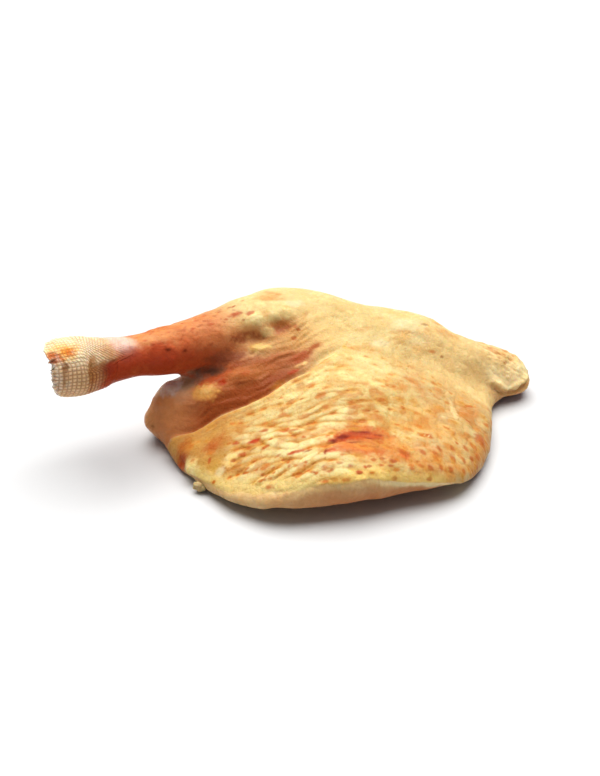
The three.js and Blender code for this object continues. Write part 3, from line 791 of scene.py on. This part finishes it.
def skin_material():
    """Moist raw skin: painted tints, faint mottling, a net of fine wrinkles and pores."""
    material = bpy.data.materials.new("raw_skin")
    material.use_nodes = True
    tree = material.node_tree
    shader = tree.nodes["Principled BSDF"]
    painted = add(tree, "Attribute", "Color", {}, attribute_name="tint")
    place = add(tree, "TexCoord", "Object", {})
    mottle = add(tree, "TexNoise", "Fac", {"Vector": place, "Scale": MOTTLE, "Detail": 3.0})
    share = add(tree, "MapRange", "Result", {
        "Value": mottle, "From Min": 0.3, "From Max": 0.7, "To Min": 0.93, "To Max": 1.07})
    brighter = add(tree, "VectorMath", "Vector", {0: painted, 1: share}, operation="MULTIPLY")
    speckle = add(tree, "TexNoise", "Fac", {"Vector": place, "Scale": SPECKLE, "Detail": 1.5})
    spot = add(tree, "MapRange", "Result", {"Value": speckle, "From Min": 0.57, "From Max": 0.68})
    amount = add(tree, "Math", 0, {0: spot, 1: painted.node.outputs["Alpha"]}, operation="MULTIPLY")
    darker = add(tree, "VectorMath", "Vector", {0: amount, 1: SPECK_TONE, 2: (1, 1, 1)},
                 operation="MULTIPLY_ADD")
    colour = add(tree, "VectorMath", "Vector", {0: brighter, 1: darker}, operation="MULTIPLY")
    tree.links.new(colour, shader.inputs["Base Color"])
    cells = add(tree, "TexVoronoi", "Distance", {"Vector": place, "Scale": NET},
                feature="DISTANCE_TO_EDGE")
    dents = add(tree, "MapRange", "Result", {"Value": cells, "From Min": 0.0, "From Max": 0.22})
    grain = add(tree, "TexNoise", "Fac", {"Vector": place, "Scale": GRAIN, "Detail": 2.0})
    height = add(tree, "Math", 0, {0: grain, 1: 0.6, 2: dents}, operation="MULTIPLY_ADD")
    bump = add(tree, "Bump", "Normal", {"Height": height, "Strength": 0.35, "Distance": NET_DEPTH})
    tree.links.new(bump, shader.inputs["Normal"])
    for name, value in SKIN_FINISH.items():
        shader.inputs[name].default_value = value
    return material


raw_skin = skin_material()


def set_down(name, mesh):
    """A finished piece in the scene, smooth and in raw skin."""
    mesh.materials.clear()
    mesh.materials.append(raw_skin)
    mesh.shade_smooth()
    return in_scene(name, mesh)


leg_skin = set_down("leg_skin", leg_mesh)
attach(leg_skin, "root")
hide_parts("duck_leg")

# Scrap of fat. A small soft lump at the left end of the flap's cut edge, half pushed under it on the
# table. It is fat, made as a ball and pressed lumpy.

SCRAP_AT = (-43.4, -45.4, 2.7)
SCRAP_HALF = (2.7, 2.5, 2.4)


def shaped(bm, name, places, tints, specks):
    """A finished mesh, with every point at its place and in its tint."""
    layer = bm.verts.layers.float_color.new("tint")
    for vert, place, colour in zip(bm.verts, places, tints):
        vert.co = place * MM
        vert[layer] = (*colour, specks)
    bmesh.ops.remove_doubles(bm, verts=bm.verts, dist=0.0005 * MM)
    bmesh.ops.recalc_face_normals(bm, faces=bm.faces)
    mesh = bpy.data.meshes.new(name)
    bm.to_mesh(mesh)
    bm.free()
    return mesh


bm = bmesh.new()
bmesh.ops.create_icosphere(bm, subdivisions=4, radius=1)
ball = np.array([vert.co for vert in bm.verts])
lumpy = 1 + 0.24 * noise(ball, 0.7, 101) + 0.14 * noise(ball, 0.3, 102)
scrap_places = ball * lumpy[:, None] * SCRAP_HALF + SCRAP_AT
scrap_places[:, 2] = np.maximum(scrap_places[:, 2], floor_height / MM + 0.02)
scrap_paint = Paint(scrap_places, "AC9A6C")
scrap_paint.wash("A98A60", ease(0, 0.6, noise(ball, 0.5, 103)) * 0.6)
fat_scrap = set_down("fat_scrap", shaped(bm, "fat_scrap", scrap_places, scrap_paint.tint, 0.1))
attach(fat_scrap, "root")

# Hock. The leg was cut off at the ankle, and a stub of the foot's scaly skin is left on it: cream plates
# in rings and rows with brown grooves, loose and ragged at the cut. It is a sleeve that is rolled up from
# a grid, one ring of plates after another, and runs out under the skin of the shank.

HOCK_ROWS = 150    # faces along the scales
HOCK_AROUND = 330    # and round them
PLATES = 47    # in one ring
GROOVE = 0.3    # how deep the grooves are
GROOVE_WIDTH = 0.18    # and how wide, as a share of a plate
# Where the skin ends round the cut: angle in degrees, and place along the shank.
SKIN_CUT = [
    (-180, 15.5), (-135, 18.5), (-90, 18), (-45, 15), (-20, 12.4), (0, 10.2), (17, 8.4), (38, 8.4),
    (48, 9.4), (57, 10.6), (66, 9.4), (90, 9.2), (110, 9.8), (130, 11.5), (155, 14), (180, 15.5)]
# The cut's thick lip: how far back it goes, and its share of the radius.
CUT_LIP = [(4.5, 0.0), (4.5, 0.45), (4.0, 0.8), (2.0, 0.86), (0.6, 0.9), (0.0, 0.94), (0.15, 0.98)]
# The tail under the shank's skin: how far on it goes, and how far it sinks.
SLEEVE_TAIL = [(1.0, -0.05), (2.0, -0.2), (3.5, -1.2), (4.0, -8.0)]


def cut_at(angles):
    """Where the skin was cut and torn, along the shank; it is smooth where it rolls over the knob."""
    around = np.c_[np.cos(angles), np.sin(angles), angles * 0]
    ragged = noise(around, 0.16, 71) * 0.6 + noise(around, 0.07, 72) * 0.45
    knob = hump(angles, math.radians(15), 0.55)
    return np.interp(np.degrees(angles), *np.array(SKIN_CUT).T) + ragged * (1 - 0.85 * knob)


solid_base = surface_of(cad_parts["duck_leg"].data)


def shank_radii(lengths, angle):
    """The solid's radii along the shank; past its cut end the last one goes on."""
    radii = []
    for length in lengths[::-1]:
        radius = skin_radius(solid_base, length, angle, 25)
        radii.append(radius if radius > 8 or length > 30 else radii[-1] * 0.99)
    return np.array(radii[::-1])


def plates(length, angle):
    """Counts the plates along and round the hock; on the shank's upper side their rows run aslant."""
    aslant = ease(21, 30, length) * ease(1.45, 1.05, np.abs(angle - 0.15))
    along = np.interp(length, (8, 24, 46), (0, 8.2, 21))
    along = along * (1 + 0.3 * ease(1.1, 0.6, np.abs(angle - 0.1)))
    around = angle / (2 * math.pi) * PLATES
    return along + 0.4 * aslant * (around - 2), around - 0.5 * aslant * (length - 22), aslant


def grooved(length, angle, start):
    """The grooves between plates: 0 on a plate and 1 in a groove."""
    along, around, aslant = plates(length, angle)
    banded = ease(25, 27, length) * (1 - aslant)
    rings = hump(along, np.rint(along), GROOVE_WIDTH) * (1 - 0.35 * aslant)
    rows = hump(around, np.rint(around), GROOVE_WIDTH) * (1 - 0.35 * banded)
    ends = ease(0.2, 1.2, length - start) * ease(0.5, -3.0, length - scales_end(angle))
    return np.maximum(rings, rows) * ends


# Stains on the scales: tone, place, half length, half width, turn, share.
HOCK_MARKS = [
    ("EEDCB0", (-101, -26, 61), 8, 6, 20, 0.9), ("EDB85C", (-100, -29, 60), 7, 4, 20, 0.7),
    ("E28C2C", (-98.7, -29.5, 59.8), 3.8, 2.4, 30, 0.95),
    ("D06A18", (-98, -29.7, 59.6), 1.6, 1.4, 60, 0.8),
    ("B8561E", (-103.8, -33, 58.6), 3.4, 2.8, 0, 0.95),
    ("93401B", (-104.4, -34.4, 57.6), 1.6, 1.4, 0, 0.8),
    ("6B3F22", (-99.2, -34.6, 55.4), 2, 1.6, 0, 0.8), ("93643A", (-99.8, -35.4, 51), 1.2, 5, 0, 0.6),
    ("E2D6C4", (-102.5, -36.4, 50), 1.8, 6, 0, 0.5), ("B57840", (-88.6, -29.4, 51), 2, 6.5, 0, 0.75),
    ("93602F", (-89.5, -30.6, 51.5), 0.7, 5.5, 0, 0.7),
    ("BA8450", (-84.6, -26.6, 49.5), 1.6, 5, 0, 0.6), ("C68A54", (-83, -20.5, 55), 7, 3.5, 20, 0.45),
    ("EBDAB4", (-92.5, -29, 57), 2.5, 3.5, 0, 0.6), ("8A2E1C", (-80.5, -24.2, 50), 5.5, 3.2, 20, 0.6),
    ("8A2E1C", (-84, -26, 49), 3, 3.5, 20, 0.35)]


def hock_paint(places, length, angle, start):
    """Cream plates with brown grooves, stained orange on the knob and where the foot came off; the darker
    tan on their lower side is partly painted shade.
    """
    paint = base_paint(places, np.zeros_like(places))
    wash = paint.wash
    left = length - scales_end(angle)
    shown = ease(-0.5, -12, left + 1.4 * noise(places, 2.6, 74)) ** 2.6
    low = ease(0.75, 1.5, np.abs(angle))
    along, around, aslant = plates(length, angle)
    each = noise(np.c_[np.rint(along), np.rint(around), length * 0] + 0.43, 1, 75)
    wash("E6D2AE", shown)
    # The plates on the scales' lower side are painted a darker tan: painted shade over their own tan.
    wash("DCB488", shown * low * 0.9)
    for mark in HOCK_MARKS:
        paint.dab(*mark)
    wash("E6DAC6", shown * ease(0, 0.8, each) * 0.5 * (1 - aslant))
    wash("A88258", shown * ease(-0.1, -0.9, each) * 0.4)
    stained = ease(-14, -10, left) * ease(0.8, 1.2, np.abs(angle - 0.2))
    wash("BE7A44", shown * stained * 0.8)
    lines = grooved(length, angle, start)
    wash("6E2412", 0.5 * ease(-1, -5, left) * ease(-12, -6, left) * lines * low)
    groove = ease(-4, -12, left) * lines
    wash("9A6230", groove * (1 - low) * mix(0.5, 0.9, aslant))
    wash("94643C", groove * low * 0.7)
    wash("7A3C1C", groove * stained * 0.8)
    torn = ease(1.4, 0.2, length - start + 0.8 * noise(places, 1.3, 76))
    torn = torn * ease(0.5, 0.9, np.abs(angle - 0.2))
    wash("D8D0C0", torn * 0.85)
    wash("5D4636", torn * ease(0.2, 0.7, noise(places, 0.9, 77)))
    return paint.tint


def hock_sleeve():
    """Rolls the scaly skin up from a flat grid, with the lip of its cut and a tail under the shank."""
    rows = len(CUT_LIP) + HOCK_ROWS + len(SLEEVE_TAIL)
    bm = bmesh.new()
    bmesh.ops.create_grid(bm, x_segments=rows, y_segments=HOCK_AROUND, size=1)
    grid = np.array([v.co for v in bm.verts])
    row = np.rint((grid[:, 0] + 1) / 2 * rows).astype(int)
    turn = np.rint((grid[:, 1] + 1) / 2 * HOCK_AROUND).astype(int) % HOCK_AROUND
    angles = (np.arange(HOCK_AROUND) / HOCK_AROUND - 0.5) * 2 * math.pi
    start, end = cut_at(angles), scales_end(angles)
    shares = np.arange(HOCK_ROWS + 1) / HOCK_ROWS
    table = np.zeros((rows + 1, HOCK_AROUND, 2))
    for k, angle in enumerate(angles):
        lengths = start[k] + (end[k] - start[k]) * shares
        coarse = np.linspace(start[k], end[k] + 4, 16)
        radii = shank_radii(coarse, angle)
        fold = 0.5 * hump(lengths, 23, 3) - 0.5 * hump(lengths, 26.5, 0.9)
        skin = np.interp(lengths, coarse, radii) + fold * ease(0.5, 0.9, angle) * ease(2.4, 2.0, angle)
        lip = [(start[k] + back, radii[0] * part) for back, part in CUT_LIP]
        tail = [(end[k] + on, np.interp(end[k] + on, coarse, radii) + down) for on, down in SLEEVE_TAIL]
        tail[-1] = (np.mean(end) + 5, 0.0)
        lip[0] = (np.mean(start) + CUT_LIP[0][0], 0.0)
        table[:, k] = lip + list(zip(lengths, skin)) + tail
    length, radius = table[row, turn].T
    angle = angles[turn]
    radius = radius - GROOVE * grooved(length, angle, start[turn]) * (radius > 1)
    out = np.cos(angle)[:, None] * SHANK_TOP + np.sin(angle)[:, None] * SHANK_FRONT
    places = SHANK_FROM + SHANK_WAY * length[:, None] + out * radius[:, None]
    tints = hock_paint(places, length, angle, start[turn])
    return shaped(bm, "hock_scales", places, tints, 0.2)


hock_scales = set_down("hock_scales", hock_sleeve())
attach(hock_scales, "root")

# Joint inside the hock. Two pale knuckles of cartilage with a groove between them, where the foot came
# off. They are one ball, pressed flat, and sit in the open end of the scaly skin.

JOINT_WIDE, JOINT_TALL, JOINT_DEEP = 9.6, 9.2, 4.0    # half sizes along the cut, and into it
JOINT_INSIDE = 1.2    # how far inside the cut its face lies

joint_side = unit(np.cross(HOCK_CUT_OUT, (0, 0, 1)))
joint_up = np.cross(joint_side, HOCK_CUT_OUT)
bm = bmesh.new()
bmesh.ops.create_icosphere(bm, subdivisions=5, radius=1)
ball = np.array([vert.co for vert in bm.verts])
knuckle = 1.6 * hump(np.abs(ball[:, 0]), 0.5, 0.35) + 0.5 * noise(ball, 0.3, 78) - 0.8
depth = ball[:, 2] * JOINT_DEEP + knuckle * (ball[:, 2] > 0)
joint_at = HOCK_CUT - JOINT_INSIDE * HOCK_CUT_OUT
joint_places = (joint_at + ball[:, :1] * JOINT_WIDE * joint_side + ball[:, 1:2] * JOINT_TALL * joint_up
                + (depth[:, None] - JOINT_DEEP) * HOCK_CUT_OUT)
joint_paint = Paint(joint_places, "DCCDB4")
joint_paint.wash("B8705C", ease(-0.1, 0.6, noise(ball, 0.35, 79)) * 0.7)
joint_paint.wash("7E3526", ease(0.55, 0.9, np.hypot(ball[:, 0], ball[:, 1])) * 0.8)
hock_joint = set_down("hock_joint", shaped(bm, "hock_joint", joint_places, joint_paint.tint, 0.1))
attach(hock_joint, "root")

# Table, light and camera. The leg lies on a plain white table under a wide, soft lamp a little behind
# it; the camera looks down on it from the front.

FLOOR_SIDE = 4.0
TABLE_TONE, TABLE_ROUGHNESS = (0.58, 0.58, 0.58, 1), 0.6
LIGHT_FROM = Vector((0.0, 0.25, 1.0))    # over the leg, and a little behind it
LIGHT_STRENGTH = 5.25
LIGHT_SPREAD = math.radians(68)
ROOM_LIGHT = 0.26
CAMERA_TARGET = Vector((-0.2, -5.85, 30)) * MM
CAMERA_DISTANCE = 760 * MM
CAMERA_ELEVATION = math.radians(28)
CAMERA_LENS = 79.33

floor_mesh = bpy.data.meshes.new("table")
bm = bmesh.new()
bmesh.ops.create_grid(bm, x_segments=1, y_segments=1, size=FLOOR_SIDE / 2)
bmesh.ops.translate(bm, verts=bm.verts, vec=(0, 0, floor_height - 0.1 * MM))
bm.to_mesh(floor_mesh)
bm.free()
table = in_scene("table", floor_mesh)
white = bpy.data.materials.new("white_table")
white.use_nodes = True
shader = white.node_tree.nodes["Principled BSDF"]
shader.inputs["Base Color"].default_value = TABLE_TONE
shader.inputs["Roughness"].default_value = TABLE_ROUGHNESS
floor_mesh.materials.append(white)

softbox = bpy.data.lights.new("softbox", "SUN")
softbox.energy = LIGHT_STRENGTH
softbox.angle = LIGHT_SPREAD
in_scene("softbox", softbox).rotation_euler = (-LIGHT_FROM).to_track_quat("-Z", "Y").to_euler()

world = bpy.data.worlds.new("room")
world.use_nodes = True
room = world.node_tree.nodes["Background"]
room.inputs["Color"].default_value = (1, 1, 1, 1)
room.inputs["Strength"].default_value = ROOM_LIGHT
bpy.context.scene.world = world
bpy.context.scene.view_settings.view_transform = "Standard"

camera = in_scene("camera", bpy.data.cameras.new("camera"))
camera.data.lens = CAMERA_LENS
back = Vector((0, -math.cos(CAMERA_ELEVATION), math.sin(CAMERA_ELEVATION)))
camera.location = CAMERA_TARGET + back * CAMERA_DISTANCE
camera.rotation_euler = (-back).to_track_quat("-Z", "Y").to_euler()
camera.data.clip_end = 10
bpy.context.scene.camera = camera
